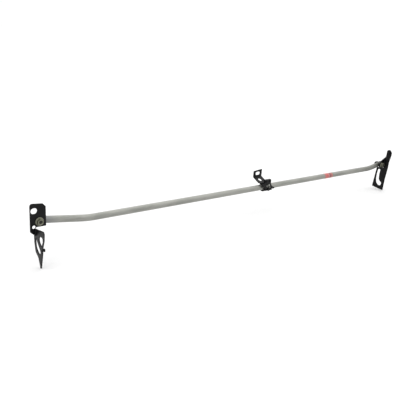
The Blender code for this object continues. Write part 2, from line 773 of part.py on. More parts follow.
def clamp_fasteners(frame):
    """Two screws along Y through the upright flanges, and a pinch screw along Z through the lower ones."""
    plate_front = BAND_FLANGE_BACK - 2 * CLAMP_SHEET - GAP
    nut_start = BAND_FLANGE_BACK + GAP + CLAMP_SHEET + GAP
    for side, x in (("left", -CLAMP_SCREW_X), ("right", CLAMP_SCREW_X)):
        place = Matrix.Translation((x, 0, CLAMP_SCREW_Z))
        small_screw(f"clamp_{side}_screw", frame, plate_front - GAP, nut_start, place)
        small_nut(f"clamp_{side}_nut", frame, nut_start, place)
    upward = Matrix.Translation((0, PINCH_Y, 0)) @ Matrix.Rotation(math.pi / 2, 4, "X")
    lip_top = LOWER_FLANGE_Z + GAP + CLAMP_SHEET + GAP
    small_screw("clamp_pinch_screw", frame, LOWER_FLANGE_Z - CLAMP_SHEET - GAP, lip_top, upward)
    small_nut("clamp_pinch_nut", frame, lip_top, upward)


def small_screw(name, frame, head_back, nut_start, place):
    """A button-head screw on the local Y axis: its head ends at head_back, and its tip passes the nut."""
    head_front = head_back - CLAMP_SCREW_HEAD
    tip = nut_start + CLAMP_NUT_THICK + 0.8 * MM
    profile = [(0, head_front), (CLAMP_SCREW_HEAD_R * 0.72, head_front)]
    profile += [(CLAMP_SCREW_HEAD_R, head_back - 0.9 * MM), (CLAMP_SCREW_HEAD_R, head_back)]
    profile += [(CLAMP_SCREW_R, head_back), (CLAMP_SCREW_R, tip), (0, tip)]
    screw = turned(name, profile, BLACK_STEEL, frame)
    screw.data.transform(place)
    return screw


def small_nut(name, frame, start, place):
    nut = add_mesh(
        name, hexagon_prism(CLAMP_NUT_ACROSS_FLATS, start, start + CLAMP_NUT_THICK), BLACK_STEEL, frame
    )
    apply_boolean(nut, "DIFFERENCE", [cylinder(CLAMP_SCREW_R + GAP, 80 * MM)])
    shade(bake(nut)).data.transform(place)
    return nut


def main():
    left_frame = new_frame("left_pivot", LEFT_PIVOT)
    right_frame = new_frame("right_pivot", RIGHT_PIVOT)
    make_tube()
    make_label()
    pivot_stack("left", left_frame, LEFT_BEND_ANGLE, -1)
    pivot_stack("right", right_frame, -RIGHT_BEND_ANGLE, 1)
    left_bracket(left_frame)
    right_bracket(right_frame)
    clamp_frame = new_frame("clamp_axis", LEFT_BEND + Vector((CLAMP_X, 0, 0)))
    clamp_liner(clamp_frame)
    clamp_band(clamp_frame)
    clamp_strap(clamp_frame)
    clamp_front_plate(clamp_frame)
    clamp_fasteners(clamp_frame)


main()
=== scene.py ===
"""Looks of the truck bed cross bar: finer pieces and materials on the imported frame, a pale floor, soft light.

Metres, in the frame of the CAD model: X runs along the bar, Y away from the front of the brackets, Z up.
"""

import json
import math

import bmesh
import bpy
from mathutils import Matrix, Quaternion, Vector


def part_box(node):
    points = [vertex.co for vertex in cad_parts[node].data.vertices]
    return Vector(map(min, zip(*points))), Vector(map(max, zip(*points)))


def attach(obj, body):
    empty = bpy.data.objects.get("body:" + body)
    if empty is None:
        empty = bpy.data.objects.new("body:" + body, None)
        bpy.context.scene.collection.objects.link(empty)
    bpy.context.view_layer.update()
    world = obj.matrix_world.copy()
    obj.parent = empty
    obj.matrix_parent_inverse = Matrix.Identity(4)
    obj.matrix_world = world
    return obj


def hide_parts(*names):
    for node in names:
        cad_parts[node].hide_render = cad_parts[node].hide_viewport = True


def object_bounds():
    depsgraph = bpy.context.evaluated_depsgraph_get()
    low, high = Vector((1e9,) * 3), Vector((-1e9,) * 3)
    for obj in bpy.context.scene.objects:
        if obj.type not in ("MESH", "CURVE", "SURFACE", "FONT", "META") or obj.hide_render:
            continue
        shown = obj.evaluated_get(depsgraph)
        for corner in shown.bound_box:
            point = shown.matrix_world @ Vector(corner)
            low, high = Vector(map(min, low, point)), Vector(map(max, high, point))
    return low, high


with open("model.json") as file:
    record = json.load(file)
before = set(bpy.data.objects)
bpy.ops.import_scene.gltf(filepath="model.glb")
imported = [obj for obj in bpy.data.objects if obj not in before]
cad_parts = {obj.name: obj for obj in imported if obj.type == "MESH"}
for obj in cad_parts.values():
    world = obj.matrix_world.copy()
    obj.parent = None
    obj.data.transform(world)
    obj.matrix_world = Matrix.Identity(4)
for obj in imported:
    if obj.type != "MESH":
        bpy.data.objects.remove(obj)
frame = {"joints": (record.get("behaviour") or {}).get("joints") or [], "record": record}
CAD_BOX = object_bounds()

MM = 0.001
GAP = 0.3 * MM
JOINTS = {joint["name"]: joint for joint in frame["joints"]}
LEFT_PIVOT = Vector(JOINTS["left_bracket_pivot"]["pos_m"])
RIGHT_PIVOT = Vector(JOINTS["right_bracket_pivot"]["pos_m"])
CLAMP_AXIS = Vector(JOINTS["clamp_turn"]["pos_m"])

# Tube
TUBE_R = 9.525 * MM
TUBE_WALL = 1.6 * MM
LEFT_BEND_ANGLE = math.radians(7.5)
LEFT_BEND_R = 300 * MM
LEFT_LEG = 147.4 * MM
RIGHT_BEND_ANGLE = math.radians(10.5)
RIGHT_BEND_R = 250 * MM
RIGHT_LEG = 65 * MM
END_OVERHANG = 13 * MM
TUBE_SIDES = 72
BEND_STEPS = 24
LABEL_FILM = 0.25 * MM

# Stack on each pivot bolt, as distances in front of (negative Y) or behind the tube's axis
SADDLE_FACE = 10.6 * MM
SADDLE_R = 11 * MM
BACK_SADDLE_R = 9.7 * MM
NYLON_THICK = 1.0 * MM
PLATE = 3.0 * MM
EAR_BACK = -(SADDLE_FACE + GAP + NYLON_THICK + GAP)
EAR_FRONT = EAR_BACK - PLATE
BOLT_R = 4.9 * MM
BOLT_HOLE_R = 5.25 * MM
FLANGE_R = 11.4 * MM
FLANGE_THICK = 2.2 * MM
HEAD_ACROSS_FLATS = 15 * MM
HEAD_THICK = 6.2 * MM
WASHER_R = 9.3 * MM
WASHER_THICK = 1.2 * MM
NUT_ACROSS_FLATS = 15 * MM
NUT_THICK = 4.8 * MM
BOLT_BEYOND_NUT = 0.7 * MM
INSERT_THICK = 1.6 * MM
SLEEVE_R = 7.0 * MM

# Brackets: where each blank's bend starts, and each wing's stud as (y, z) from the pivot, in millimetres
BEND_IN_R = 2.0 * MM
NEUTRAL_R = BEND_IN_R + PLATE / 2
BEND_LENGTH = NEUTRAL_R * math.pi / 2
LEFT_BEND_START = -12.0 * MM
RIGHT_BEND_START = 11.5 * MM
LEFT_STUD = (-46.3, -67)
RIGHT_STUD = (-30.5, 52.0)
STUD_HOLE_R = 2.9

# Clamp: lengths with MM are in metres, and the others, used in outlines, are in millimetres
SHEET = 2.5 * MM
LINER_THICK = 1.8 * MM
LINER_BORE_R = TUBE_R + 0.75 * MM
BAND_R = LINER_BORE_R + LINER_THICK + 0.35 * MM
HALF_BAND = 14.5 * MM
SCREW_X = 8.5
SCREW_Z = 23
SCREW_HOLE_R = 2.3
PINCH_Y = -16.6
FLANGE_TOP = 28
FLANGE_BACK_Y = -9.7
CRANK_Y = -12.27
LOWER_FLANGE_Z = -5.3
SMALL_SCREW_R = 2.0 * MM
SMALL_HEAD_R = 3.4 * MM
SMALL_HEAD = 2.4 * MM
SMALL_NUT_ACROSS_FLATS = 7 * MM
SMALL_NUT_THICK = 3.2 * MM

ROUND_STEPS = 72
SMALL_STEPS = 36
EDGE = 0.4 * MM
SHARP_ANGLE = 40
TINY = 1e-9


# ---------------------------------------------------------------- materials


def new_material(name, roughness, metallic, colour, specular=0.5):
    material = bpy.data.materials.new(name)
    material.use_nodes = True
    shader = material.node_tree.nodes["Principled BSDF"]
    shader.inputs["Base Color"].default_value = (*colour, 1)
    shader.inputs["Roughness"].default_value = roughness
    shader.inputs["Metallic"].default_value = metallic
    shader.inputs["Specular IOR Level"].default_value = specular
    return material, material.node_tree, shader


def noise(tree, scale, detail=3.0, stretch=(1, 1, 1)):
    """A noise texture in object coordinates; stretch multiplies its frequency along X, Y and Z."""
    place = tree.nodes.new("ShaderNodeTexCoord")
    mapping = tree.nodes.new("ShaderNodeMapping")
    mapping.inputs["Scale"].default_value = stretch
    texture = tree.nodes.new("ShaderNodeTexNoise")
    texture.inputs["Scale"].default_value = scale
    texture.inputs["Detail"].default_value = detail
    tree.links.new(place.outputs["Object"], mapping.inputs["Vector"])
    tree.links.new(mapping.outputs["Vector"], texture.inputs["Vector"])
    return texture.outputs["Fac"]


def remap(tree, value, low, high, start=0.0, end=1.0):
    node = tree.nodes.new("ShaderNodeMapRange")
    node.inputs["From Min"].default_value = low
    node.inputs["From Max"].default_value = high
    node.inputs["To Min"].default_value = start
    node.inputs["To Max"].default_value = end
    tree.links.new(value, node.inputs["Value"])
    return node.outputs["Result"]


def blend_colours(tree, factor, first, second):
    """A mix of two colours, each an output socket or an (r, g, b)."""
    node = tree.nodes.new("ShaderNodeMix")
    node.data_type = "RGBA"
    tree.links.new(factor, node.inputs["Factor"])
    for name, colour in (("A", first), ("B", second)):
        socket = [s for s in node.inputs if s.name == name and s.type == "RGBA"][0]
        if isinstance(colour, tuple):
            socket.default_value = (*colour, 1)
        else:
            tree.links.new(colour, socket)
    return [s for s in node.outputs if s.type == "RGBA"][0]


def add_bump(tree, shader, height, strength, distance, before=None):
    node = tree.nodes.new("ShaderNodeBump")
    node.inputs["Strength"].default_value = strength
    node.inputs["Distance"].default_value = distance
    tree.links.new(height, node.inputs["Height"])
    if before:
        tree.links.new(before, node.inputs["Normal"])
    tree.links.new(node.outputs["Normal"], shader.inputs["Normal"])
    return node.outputs["Normal"]


def along(tree, axis):
    """One object coordinate, in metres."""
    place = tree.nodes.new("ShaderNodeTexCoord")
    split = tree.nodes.new("ShaderNodeSeparateXYZ")
    tree.links.new(place.outputs["Object"], split.inputs["Vector"])
    return split.outputs[axis]


def bar_steel():
    """Zinc-plated tube: satin, with faint drawn lines along X, a soft mottle, and painted shade that darkens it
    near the left bracket and towards its right end.
    """
    material, tree, shader = new_material("bar_steel", 0.4, 1.0, (0.36, 0.36, 0.33))
    mottle = remap(tree, noise(tree, 60, 4, (0.25, 1, 1)), 0.35, 0.65)
    colour = blend_colours(tree, mottle, (0.195, 0.20, 0.18), (0.30, 0.30, 0.275))
    streaks = remap(tree, noise(tree, 700, 2, (0.01, 1, 1)), 0.3, 0.7)
    colour = blend_colours(tree, remap(tree, streaks, 0, 1, 0, 0.45), colour, (0.38, 0.38, 0.36))
    # painted shade: a bluish darkening of the tube's colour just inside the left bracket
    left = remap(tree, along(tree, "X"), LEFT_PIVOT.x + 20 * MM, LEFT_PIVOT.x + 60 * MM, 0.55, 0)
    colour = blend_colours(tree, left, colour, (0.12, 0.125, 0.145))
    # painted shade: the tube's colour darkens towards the right bracket
    right = remap(tree, along(tree, "X"), RIGHT_PIVOT.x - 200 * MM, RIGHT_PIVOT.x - 90 * MM, 0, 0.35)
    colour = blend_colours(tree, right, colour, (0.12, 0.12, 0.11))
    # painted shade: over the last 45 mm before the right pivot the tube's colour goes almost black
    end = remap(tree, along(tree, "X"), RIGHT_PIVOT.x - 45 * MM, RIGHT_PIVOT.x - 5 * MM, 0, 0.85)
    colour = blend_colours(tree, end, colour, (0.035, 0.036, 0.028))
    tree.links.new(colour, shader.inputs["Base Color"])
    tree.links.new(remap(tree, mottle, 0, 1, 0.36, 0.48), shader.inputs["Roughness"])
    lines = add_bump(tree, shader, noise(tree, 2600, 2, (0.012, 1, 1)), 0.12, 0.2 * MM)
    add_bump(tree, shader, noise(tree, 90, 2), 0.05, 1 * MM, lines)
    return material


def black_steel():
    """Black powder coat: a fine orange peel, slightly worn and dusty in patches."""
    material, tree, shader = new_material("black_steel", 0.4, 0.0, (0.004, 0.004, 0.004), 0.14)
    patches = remap(tree, noise(tree, 45, 5), 0.4, 0.75)
    colour = blend_colours(tree, patches, (0.0022, 0.0022, 0.0026), (0.006, 0.0058, 0.0062))
    rub = remap(tree, noise(tree, 260, 6), 0.62, 0.78, 0, 0.5)
    colour = blend_colours(tree, rub, colour, (0.014, 0.013, 0.013))
    tree.links.new(colour, shader.inputs["Base Color"])
    tree.links.new(remap(tree, patches, 0, 1, 0.36, 0.5), shader.inputs["Roughness"])
    peel = add_bump(tree, shader, noise(tree, 900, 2), 0.18, 0.25 * MM)
    add_bump(tree, shader, noise(tree, 3500, 1), 0.06, 0.1 * MM, peel)
    return material


def off_axes(tree, points):
    """The distance to the nearest of the lines along Y through the given points."""
    place = tree.nodes.new("ShaderNodeTexCoord")
    nearest = None
    for point in points:
        flat = tree.nodes.new("ShaderNodeVectorMath")
        flat.operation = "MULTIPLY_ADD"
        flat.inputs[1].default_value = (1, 0, 1)
        flat.inputs[2].default_value = (-point.x, 0, -point.z)
        tree.links.new(place.outputs["Object"], flat.inputs[0])
        length = tree.nodes.new("ShaderNodeVectorMath")
        length.operation = "LENGTH"
        tree.links.new(flat.outputs["Vector"], length.inputs[0])
        found = length.outputs["Value"]
        if nearest:
            least = tree.nodes.new("ShaderNodeMath")
            least.operation = "MINIMUM"
            tree.links.new(nearest, least.inputs[0])
            tree.links.new(found, least.inputs[1])
            found = least.outputs["Value"]
        nearest = found
    return nearest


def zinc_steel():
    """Dull olive zinc on the fasteners, with painted shade in the dish of each bolt head."""
    material, tree, shader = new_material("zinc_steel", 0.32, 1.0, (0.16, 0.16, 0.13))
    tint = remap(tree, noise(tree, 180, 4), 0.35, 0.65)
    colour = blend_colours(tree, tint, (0.125, 0.13, 0.095), (0.20, 0.195, 0.155))
    # painted shade: the colour turns nearly black within 4.2 to 5.2 mm of the pivot axes, where the bolt heads
    # are dished
    painted_dish_shade = remap(tree, off_axes(tree, (LEFT_PIVOT, RIGHT_PIVOT)), 4.2 * MM, 5.2 * MM, 0.92, 0)
    colour = blend_colours(tree, painted_dish_shade, colour, (0.02, 0.02, 0.018))
    tree.links.new(colour, shader.inputs["Base Color"])
    tree.links.new(remap(tree, tint, 0, 1, 0.26, 0.4), shader.inputs["Roughness"])
    add_bump(tree, shader, noise(tree, 1500, 3), 0.08, 0.1 * MM)
    return material


def moulded(name, dark, light, roughness, grain):
    """A moulded plastic or rubber with a fine grain, and a slightly uneven colour and gloss."""
    material, tree, shader = new_material(name, roughness, 0.0, dark)
    spread = remap(tree, noise(tree, 120, 4), 0.35, 0.65)
    tree.links.new(blend_colours(tree, spread, dark, light), shader.inputs["Base Color"])
    rough = remap(tree, spread, 0, 1, roughness - 0.06, roughness + 0.06)
    tree.links.new(rough, shader.inputs["Roughness"])
    add_bump(tree, shader, noise(tree, grain, 2), 0.15, 0.1 * MM)
    return material


def red_film():
    """The label: a red printed film with a few darker and paler blocks and a bare right end, no lettering."""
    material, tree, shader = new_material("red_film", 0.38, 0.0, (0.4, 0.1, 0.1))
    x = along(tree, "X")
    low, high = (corner.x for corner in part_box("label_band"))
    length = high - low
    fade = noise(tree, 160, 3)
    soft = 0.01 * length

    def block(start, end, under, colour):
        """Paints a block round the label between two fractions of its length."""
        inside = remap(tree, x, low + start * length - soft, low + start * length + soft)
        short = remap(tree, x, low + end * length - soft, low + end * length + soft, 1, 0)
        both = tree.nodes.new("ShaderNodeMath")
        both.operation = "MULTIPLY"
        tree.links.new(inside, both.inputs[0])
        tree.links.new(short, both.inputs[1])
        return blend_colours(tree, both.outputs["Value"], under, colour)

    colour = blend_colours(tree, remap(tree, fade, 0.35, 0.65), (0.36, 0.065, 0.06), (0.47, 0.115, 0.105))
    colour = block(0.41, 0.47, colour, (0.36, 0.19, 0.20))
    colour = block(0.50, 0.62, colour, (0.15, 0.035, 0.04))
    colour = block(0.66, 0.76, colour, (0.22, 0.10, 0.10))
    colour = block(0.86, 1.1, colour, (0.16, 0.185, 0.15))
    tree.links.new(colour, shader.inputs["Base Color"])
    tree.links.new(remap(tree, fade, 0.3, 0.7, 0.3, 0.45), shader.inputs["Roughness"])
    add_bump(tree, shader, noise(tree, 400, 2), 0.04, 0.2 * MM)
    return material


BAR_STEEL = bar_steel()
BLACK_STEEL = black_steel()
ZINC_STEEL = zinc_steel()
BLACK_PLASTIC = moulded("black_plastic", (0.022, 0.022, 0.023), (0.035, 0.035, 0.036), 0.55, 1800)
WHITE_NYLON = moulded("white_nylon", (0.66, 0.65, 0.60), (0.74, 0.73, 0.69), 0.45, 900)
BLACK_RUBBER = moulded("black_rubber", (0.012, 0.012, 0.012), (0.022, 0.022, 0.022), 0.82, 2400)
RED_FILM = red_film()
SLOT_MATERIALS = {
    "bar_steel": BAR_STEEL,
    "black_steel": BLACK_STEEL,
    "zinc_steel": ZINC_STEEL,
    "black_plastic": BLACK_PLASTIC,
    "white_nylon": WHITE_NYLON,
    "black_rubber": BLACK_RUBBER,
    "red_film": RED_FILM,
}


# ---------------------------------------------------------------- pieces


def body_of(node):
    return next(name for name, nodes in frame["record"]["behaviour"]["bodies"].items() if node in nodes)


def slot_of(node):
    return next(part["material_slot"] for part in frame["record"]["subparts"] if part["node"] == node)


def smooth(piece, angle=SHARP_ANGLE):
    """Smooth shading with sharp edges beyond an angle in degrees, and normals that follow the large faces."""
    piece.data.shade_smooth()
    piece.data.set_sharp_from_angle(angle=math.radians(angle))
    weights = piece.modifiers.new("normals", "WEIGHTED_NORMAL")
    weights.keep_sharp = True


def add_piece(node, shape, angle=SHARP_ANGLE):
    """Turns a bmesh into the visible piece that stands for a CAD node."""
    bmesh.ops.remove_doubles(shape, verts=shape.verts, dist=0.002 * MM)
    bmesh.ops.recalc_face_normals(shape, faces=shape.faces)
    mesh = bpy.data.meshes.new(node + "_detail")
    shape.to_mesh(mesh)
    shape.free()
    piece = bpy.data.objects.new(node + "_detail", mesh)
    bpy.context.scene.collection.objects.link(piece)
    slot = slot_of(node)
    mesh.materials.append(SLOT_MATERIALS[slot])
    smooth(piece, angle)
    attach(piece, body_of(node))
    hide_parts(node)
    return piece


def subtract(piece, cutters):
    """Cuts closed bmeshes from a piece, and keeps the result as its mesh."""
    piece.modifiers.remove(piece.modifiers["normals"])
    tools = []
    for shape in cutters:
        bmesh.ops.recalc_face_normals(shape, faces=shape.faces)
        mesh = bpy.data.meshes.new("cutter")
        shape.to_mesh(mesh)
        shape.free()
        tool = bpy.data.objects.new("cutter", mesh)
        bpy.context.scene.collection.objects.link(tool)
        tools.append(tool)
        cut = piece.modifiers.new("cut", "BOOLEAN")
        cut.operation = "DIFFERENCE"
        cut.object = tool
        cut.solver = "EXACT"
    bpy.context.view_layer.update()
    mesh = bpy.data.meshes.new_from_object(piece.evaluated_get(bpy.context.evaluated_depsgraph_get()))
    material = piece.data.materials[0]
    piece.modifiers.clear()
    piece.data = mesh
    mesh.materials.clear()
    mesh.materials.append(material)
    for tool in tools:
        bpy.data.objects.remove(tool)
    smooth(piece)


# ---------------------------------------------------------------- turned pieces


def at(point):
    return Matrix.Translation(point)


def ring_at(shape, stage, steps):
    """One ring round the Y axis. A stage is (radius, y), or (across flats, y, lean) for a hexagon ring.

    Lean lowers a hexagon's corners along Y, in metres for each metre beyond the flats.
    """
    size, y = stage[:2]
    if len(stage) == 2 and size == 0:
        return [shape.verts.new((0, y, 0))]
    ring = []
    for i in range(steps):
        a = 2 * math.pi * i / steps
        radius, rise = size, 0
        if len(stage) == 3:
            off_flat = (a + math.pi / 6) % (math.pi / 3) - math.pi / 6
            radius = size / 2 / math.cos(off_flat)
            rise = stage[2] * (radius - size / 2)
        ring.append(shape.verts.new((radius * math.cos(a), y + rise, radius * math.sin(a))))
    return ring


def lathe(stages, place=Matrix.Identity(4), steps=ROUND_STEPS):
    """A turned shape on the Y axis, moved by place. It is a closed ring unless its first stage is a point."""
    shape = bmesh.new()
    rings = [ring_at(shape, stage, steps) for stage in stages]
    closed = len(rings[0]) > 1
    for low, high in zip(rings, rings[1:] + (rings[:1] if closed else [])):
        for i in range(steps):
            j = (i + 1) % steps
            below = [low[i % len(low)], low[j % len(low)]]
            above = [high[j % len(high)], high[i % len(high)]]
            shape.faces.new(list(dict.fromkeys(below + above)))
    bmesh.ops.transform(shape, matrix=place, verts=shape.verts)
    return shape


def washer_stages(inner, outer, low, high, edge=0.25 * MM):
    """A flat ring with softened edges."""
    return [
        (inner, low + edge),
        (inner + edge, low),
        (outer - edge, low),
        (outer, low + edge),
        (outer, high - edge),
        (outer - edge, high),
        (inner + edge, high),
        (inner, high - edge),
    ]


def thread_stages(radius, start, end, pitch, depth):
    """Crests and roots along a shank, and a chamfered tip."""
    turns = int((end - start - depth) / pitch)
    stages = []
    for i in range(turns):
        y = start + i * pitch
        stages += [(radius - depth, y), (radius, y + pitch * 0.4), (radius, y + pitch * 0.6)]
    stages += [(radius - depth, start + turns * pitch), (radius - depth, end - depth)]
    return stages + [(radius - 2 * depth, end), (0, end)]


def pivot_bolt_stages():
    """A flange bolt: a chamfered hexagon head with a dished top, a sloping flange and a threaded shank."""
    flange_back = EAR_FRONT - GAP
    flange_front = flange_back - FLANGE_THICK
    head_front = flange_front - HEAD_THICK
    tip = SADDLE_FACE + GAP + WASHER_THICK + GAP + NUT_THICK + BOLT_BEYOND_NUT
    flats = HEAD_ACROSS_FLATS
    chamfer = math.tan(math.radians(30))
    top = [
        (0, head_front + 1.3 * MM),
        (3.6 * MM, head_front + 1.15 * MM),
        (4.4 * MM, head_front + 0.7 * MM),
        (5.0 * MM, head_front + 0.12 * MM),
        (5.6 * MM, head_front),
        (flats * 0.47, head_front),
        (flats * 0.487, head_front + 0.1 * MM),
        (flats * 0.996, head_front + 0.22 * MM, chamfer),
        (flats, head_front + 0.45 * MM, chamfer),
        (flats, flange_front - 0.7 * MM, 0),
        (flats * 1.02, flange_front - 0.2 * MM, 0),
        (FLANGE_R - 2.2 * MM, flange_front + 0.15 * MM),
        (FLANGE_R - 0.6 * MM, flange_front + 0.75 * MM),
        (FLANGE_R - 0.12 * MM, flange_front + 1.1 * MM),
        (FLANGE_R, flange_front + 1.5 * MM),
        (FLANGE_R - 0.1 * MM, flange_back - 0.15 * MM),
        (FLANGE_R - 0.4 * MM, flange_back),
        (BOLT_R + 0.5 * MM, flange_back),
        (BOLT_R, flange_back + 0.5 * MM),
        (BOLT_R, SADDLE_FACE + 1 * MM),
    ]
    return top + thread_stages(BOLT_R, SADDLE_FACE + 1.2 * MM, tip, 1.25 * MM, 0.55 * MM)


def lock_nut_stages():
    """A hexagon nut, chamfered below, whose domed collar closes on a nylon ring."""
    start = SADDLE_FACE + GAP + WASHER_THICK + GAP
    end = start + NUT_THICK
    flats = NUT_ACROSS_FLATS
    chamfer = -math.tan(math.radians(30))
    shoulder = end - INSERT_THICK
    return [
        (BOLT_R + GAP, start + 0.6 * MM),
        (BOLT_R + GAP + 0.6 * MM, start),
        (flats * 0.47, start),
        (flats, start + 0.4 * MM, -chamfer),
        (flats, shoulder - 0.4 * MM, chamfer),
        (flats * 0.475, shoulder),
        (flats * 0.46, shoulder + 0.3 * MM),
        (flats * 0.46, end - 0.9 * MM),
        (flats * 0.45, end - 0.35 * MM),
        (flats * 0.425, end - 0.05 * MM),
        (flats * 0.41, end),
        (6.35 * MM, end - 0.05 * MM),
        (6.3 * MM, end - 0.3 * MM),
        (6.3 * MM, shoulder),
        (BOLT_R + GAP, shoulder),
    ]


def end_plug_stages():
    """A plug seen along its own axis: a softly domed rim outside and a ribbed spigot inside."""
    face = END_OVERHANG + GAP
    rim = 2.5 * MM
    outer = TUBE_R - 0.4 * MM
    spigot = TUBE_R - TUBE_WALL - GAP
    inner_end = face + rim / 2 - (END_OVERHANG - SLEEVE_R - 2 * MM) / 2
    stages = [(0, inner_end), (spigot - 0.8 * MM, inner_end), (spigot - 0.3 * MM, inner_end + 0.4 * MM)]
    stages += [(spigot, face - 0.6 * MM), (spigot, face), (outer - 0.3 * MM, face), (outer, face + 0.3 * MM)]
    stages += [(outer, face + rim * 0.55), (outer - 0.3 * MM, face + rim * 0.75)]
    stages += [(outer - 1.1 * MM, face + rim * 0.9), (outer * 0.5, face + rim * 0.98), (0, face + rim)]
    return stages


def small_screw_stages(head_back, nut_start):
    """A button head with a hexagon socket, and a threaded shank."""
    head_r = SMALL_HEAD_R
    shank = SMALL_SCREW_R
    front = head_back - SMALL_HEAD
    socket = 2.5 * MM
    stages = [(0, front + 1.3 * MM), (socket * 0.5, front + 1.1 * MM, 0), (socket, front + 1.1 * MM, 0)]
    stages += [(socket, front + 0.05 * MM, 0), (head_r * 0.55, front), (head_r * 0.75, front + 0.25 * MM)]
    stages += [(head_r * 0.93, front + 0.8 * MM), (head_r, front + 1.6 * MM), (head_r, head_back - 0.1 * MM)]
    stages += [(head_r - 0.15 * MM, head_back), (shank, head_back), (shank, nut_start - 0.4 * MM)]
    tip = nut_start + SMALL_NUT_THICK + 0.8 * MM
    return stages + thread_stages(shank, nut_start - 0.2 * MM, tip, 0.7 * MM, 0.3 * MM)


def small_nut_stages(start):
    """A plain hexagon nut, chamfered on both faces."""
    flats = SMALL_NUT_ACROSS_FLATS
    bore = SMALL_SCREW_R + GAP
    chamfer = math.tan(math.radians(30))
    end = start + SMALL_NUT_THICK
    return [
        (bore, start + 0.3 * MM),
        (bore + 0.3 * MM, start),
        (flats * 0.47, start),
        (flats, start + 0.2 * MM, chamfer),
        (flats, end - 0.2 * MM, -chamfer),
        (flats * 0.47, end),
        (bore + 0.3 * MM, end),
        (bore, end - 0.3 * MM),
    ]


def stud_stages(head_r, reach):
    """A shouldered stud with a riveted tail: its plate lies between y = 0 and the plate's thickness."""
    neck = PLATE + GAP
    return [
        (0, -0.8 * MM),
        (1.6 * MM, -0.8 * MM),
        (2.3 * MM, -0.55 * MM),
        (2.6 * MM, -0.1 * MM),
        (2.6 * MM, neck),
        (3.6 * MM, neck),
        (3.6 * MM, reach - 2.6 * MM),
        (3.9 * MM, reach - 2.4 * MM),
        (head_r - 0.2 * MM, reach - 2.4 * MM),
        (head_r, reach - 2.2 * MM),
        (head_r, reach - 1.1 * MM),
        (head_r * 0.93, reach - 0.6 * MM),
        (head_r * 0.8, reach - 0.2 * MM),
        (head_r * 0.6, reach),
        (0, reach),
    ]


# ---------------------------------------------------------------- folded sheet


def rounded(corners, steps=8):
    """A closed outline through (u, v, radius) corners, in millimetres, with each corner rounded."""
    points = []
    for i, (u, v, radius) in enumerate(corners):
        here = Vector((u, v))
        before = (Vector(corners[i - 1][:2]) - here).normalized()
        after = (Vector(corners[(i + 1) % len(corners)][:2]) - here).normalized()
        if radius == 0:
            points.append(here * MM)
            continue
        half = before.angle(after) / 2
        reach = radius / math.tan(half)
        centre = here + (before + after).normalized() * radius / math.sin(half)
        first = here + before * reach - centre
        turn = (here + after * reach - centre).angle_signed(first)
        points += [(centre + Matrix.Rotation(turn * k / steps, 2) @ first) * MM for k in range(steps + 1)]
    return points


def rectangle(low, high, radius):
    corners = [(low[0], low[1]), (high[0], low[1]), (high[0], high[1]), (low[0], high[1])]
    return rounded([(*corner, radius) for corner in corners])


def circle(u, v, radius, steps=40):
    angles = [2 * math.pi * i / steps for i in range(steps)]
    return [Vector((u + radius * math.cos(a), v + radius * math.sin(a))) * MM for a in angles]


def signed_area(loop):
    return sum(a.x * b.y - b.x * a.y for a, b in zip(loop, loop[1:] + loop[:1])) / 2


def inward(loop):
    """The miter direction into the material at each point, for a loop that has the material on its left."""
    found = []
    for i, here in enumerate(loop):
        first = (here - loop[i - 1]).normalized()
        second = (loop[(i + 1) % len(loop)] - here).normalized()
        normals = Vector((-first.y, first.x)), Vector((-second.y, second.x))
        found.append((normals[0] + normals[1]) / (1 + normals[0].dot(normals[1])))
    return found


def flat_blank(outline, holes, thickness, edge=EDGE):
    """A flat sheet with softly rounded edges, as a bmesh whose x and y are the outline's and z its depth."""
    shape = bmesh.new()
    soft = 0.29 * edge
    profile = [(edge, 0), (soft, soft), (0, edge)]
    profile += [(0, thickness - edge), (soft, thickness - soft), (edge, thickness)]
    rims = []
    for number, loop in enumerate([outline, *holes]):
        if (signed_area(loop) > 0) == (number > 0):
            loop = loop[::-1]
        ways = inward(loop)
        rings = []
        for back, depth in profile:
            rings.append([shape.verts.new((*(p + w * back), depth)) for p, w in zip(loop, ways)])
        for low, high in zip(rings, rings[1:]):
            for i in range(len(loop)):
                j = (i + 1) % len(loop)
                shape.faces.new((low[i], low[j], high[j], high[i]))
        rims.append((rings[0], rings[-1]))
    for side in (0, 1):
        edges = []
        for rim in rims:
            ring = rim[side]
            edges += [shape.edges.get((ring[i], ring[(i + 1) % len(ring)])) for i in range(len(ring))]
        bmesh.ops.triangle_fill(shape, use_beauty=True, use_dissolve=False, edges=edges)
    return shape


